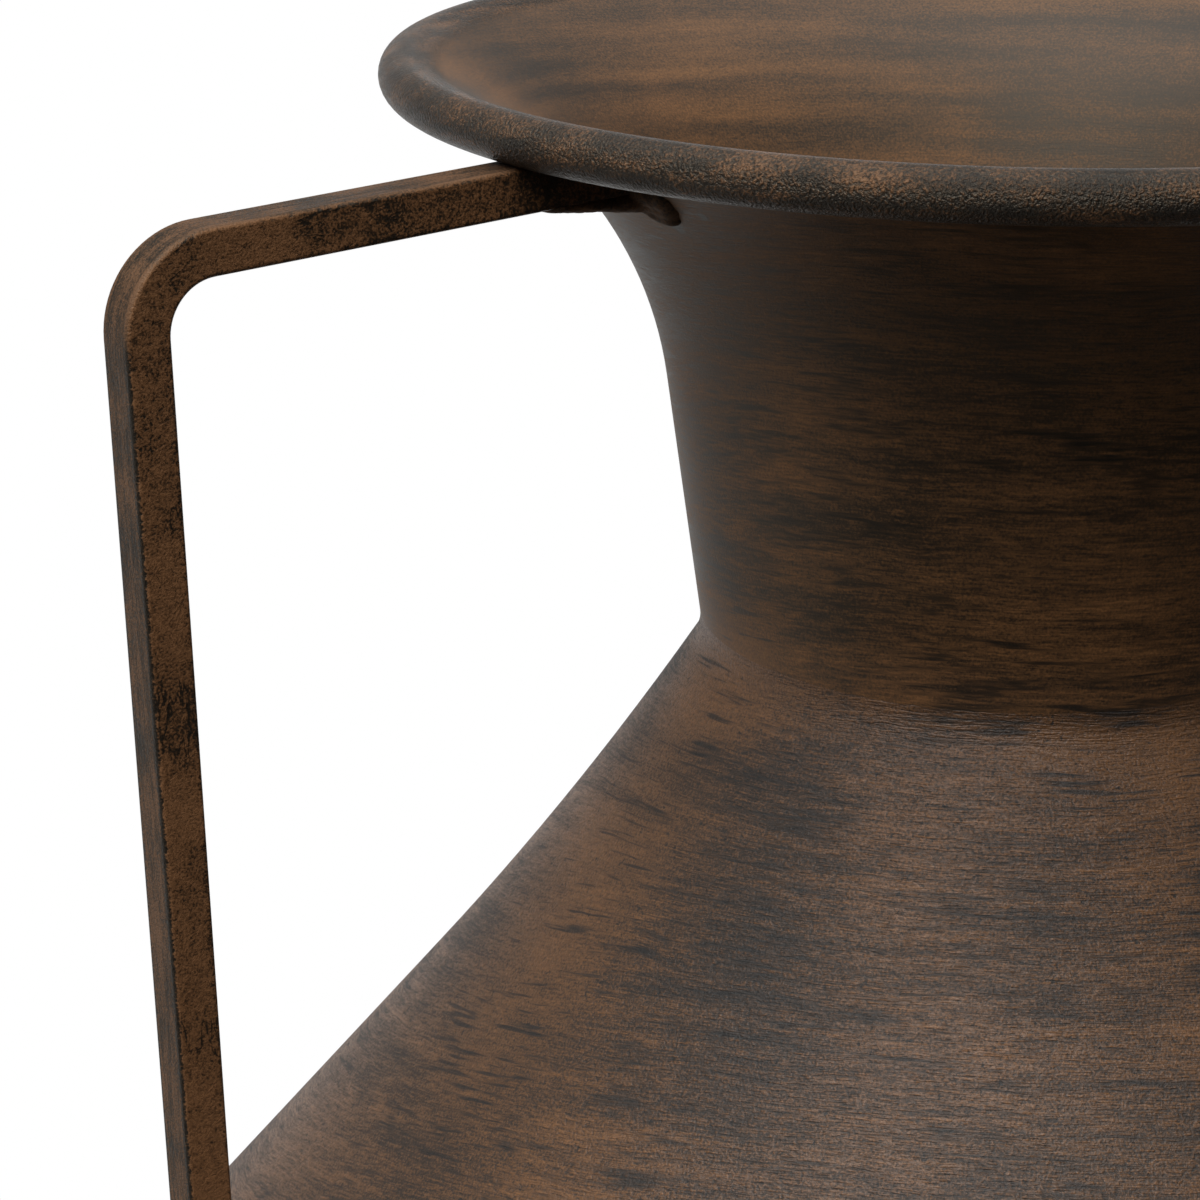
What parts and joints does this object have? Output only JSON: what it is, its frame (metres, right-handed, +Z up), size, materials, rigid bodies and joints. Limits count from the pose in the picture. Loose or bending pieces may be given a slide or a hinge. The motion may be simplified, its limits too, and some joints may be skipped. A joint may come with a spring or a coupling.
{
  "type": "jug vase",
  "caption": "Welded sheet-iron jug vase with a flared wired rim, waisted neck, conical shoulder, rounded belly and a bent-bar side handle; stands on rubber feet and holds stems.",
  "frame": {"origin": "on the vase's axis, level with the underside of the rubber feet that it stands on", "axes": "+Z up along the vase's axis, -X towards the handle, +Y to the side so that XZ is the mirror plane"},
  "size_m": [0.316, 0.316, 0.3816],
  "materials": {
    "patinated_iron": "satin copper-brown base coat under dark brushed streaks that run round the vase",
    "handle_iron": "satin copper-brown coat with black crackle and worn, darker arrises",
    "weld_metal": "lumpy weld under the same dark brown coat",
    "wire_steel": "bare drawn wire, hidden in the rolled rim",
    "rubber": "matt black rubber"
  },
  "bodies": {
    "root": {"neck_collar": "patinated_iron", "rim_wire": "wire_steel", "shoulder": "patinated_iron", "lower_body": "patinated_iron", "base_plate": "patinated_iron", "neck_seam_weld": "weld_metal", "belly_seam_weld": "weld_metal", "base_seam_weld": "weld_metal", "handle_bar": "handle_iron", "handle_top_weld": "weld_metal", "handle_foot_weld": "weld_metal", "rubber_foot_1": "rubber", "rubber_foot_2": "rubber", "rubber_foot_3": "rubber", "rubber_foot_4": "rubber"}
  },
  "joints": []
}
